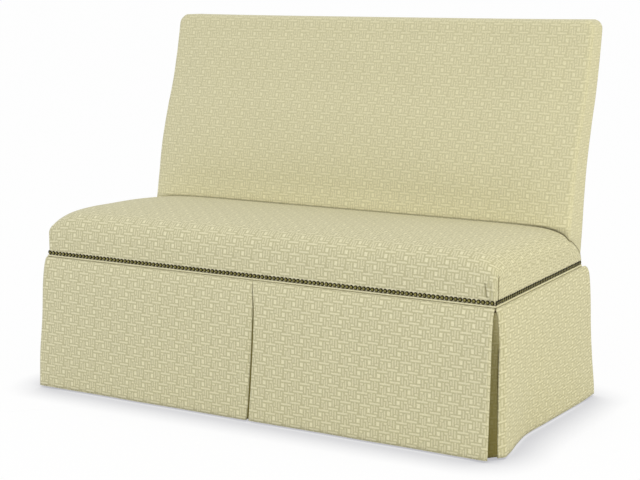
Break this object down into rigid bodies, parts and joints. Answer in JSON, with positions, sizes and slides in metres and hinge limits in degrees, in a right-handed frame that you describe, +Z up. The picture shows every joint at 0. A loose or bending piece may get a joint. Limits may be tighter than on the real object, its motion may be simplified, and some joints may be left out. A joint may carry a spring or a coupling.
{
  "type": "upholstered banquette bench",
  "caption": "Upholstered banquette bench with a crowned seat, a raked back, a nail-head border and a kick-pleated skirt to the floor.",
  "frame": {"origin": "the middle of the bench's outline on the floor, under the glides", "axes": "+X along the bench to the sitter's left, -Y out of its front, +Z up"},
  "size_m": [1.33, 0.718, 0.977],
  "materials": {
    "hardwood": "planed, unfinished",
    "dowel_wood": "fluted beech",
    "bolt_steel": "zinc plated",
    "spring_steel": "oiled wire",
    "clip_steel": "bare strip",
    "webbing": "woven jute",
    "burlap_pad": "pressed jute",
    "edge_roll": "calico over fibre",
    "foam": "open cell",
    "cover_fabric": "tone-on-tone woven lattice",
    "pleat_fabric": "the same cloth, in the pleats' shade",
    "welt_fabric": "the same cloth over cord",
    "nail_brass": "antiqued, dark",
    "tack_board": "plain board",
    "cambric": "black, non-woven",
    "glide_plastic": "moulded"
  },
  "bodies": {
    "root": {"front_rail": "hardwood", "rear_rail": "hardwood", "left_side_rail": "hardwood", "right_side_rail": "hardwood", "seat_cross_rail": "hardwood", "corner_blocks": "hardwood", "left_front_leg": "hardwood", "right_front_leg": "hardwood", "left_back_post": "hardwood", "right_back_post": "hardwood", "back_top_rail": "hardwood", "back_lower_rail": "hardwood", "back_stile": "hardwood", "frame_dowels": "dowel_wood", "corner_bolts": "bolt_steel", "seat_springs": "spring_steel", "spring_clips": "clip_steel", "back_webs": "webbing", "spring_pad": "burlap_pad", "seat_edge_roll": "edge_roll", "seat_foam": "foam", "back_foam": "foam", "seat_cover": "cover_fabric", "back_cover": "cover_fabric", "outside_back": "cover_fabric", "front_left_skirt": "cover_fabric", "front_right_skirt": "cover_fabric", "left_skirt": "cover_fabric", "right_skirt": "cover_fabric", "rear_skirt": "cover_fabric", "centre_pleat": "pleat_fabric", "front_left_pleat": "pleat_fabric", "front_right_pleat": "pleat_fabric", "rear_left_pleat": "pleat_fabric", "rear_right_pleat": "pleat_fabric", "front_welt": "welt_fabric", "left_welt": "welt_fabric", "right_welt": "welt_fabric", "rear_welt": "welt_fabric", "front_nails": "nail_brass", "left_nails": "nail_brass", "right_nails": "nail_brass", "back_tack_strips": "tack_board", "skirt_tack_strips": "tack_board", "dust_cover": "cambric", "glides": "glide_plastic"}
  },
  "joints": []
}
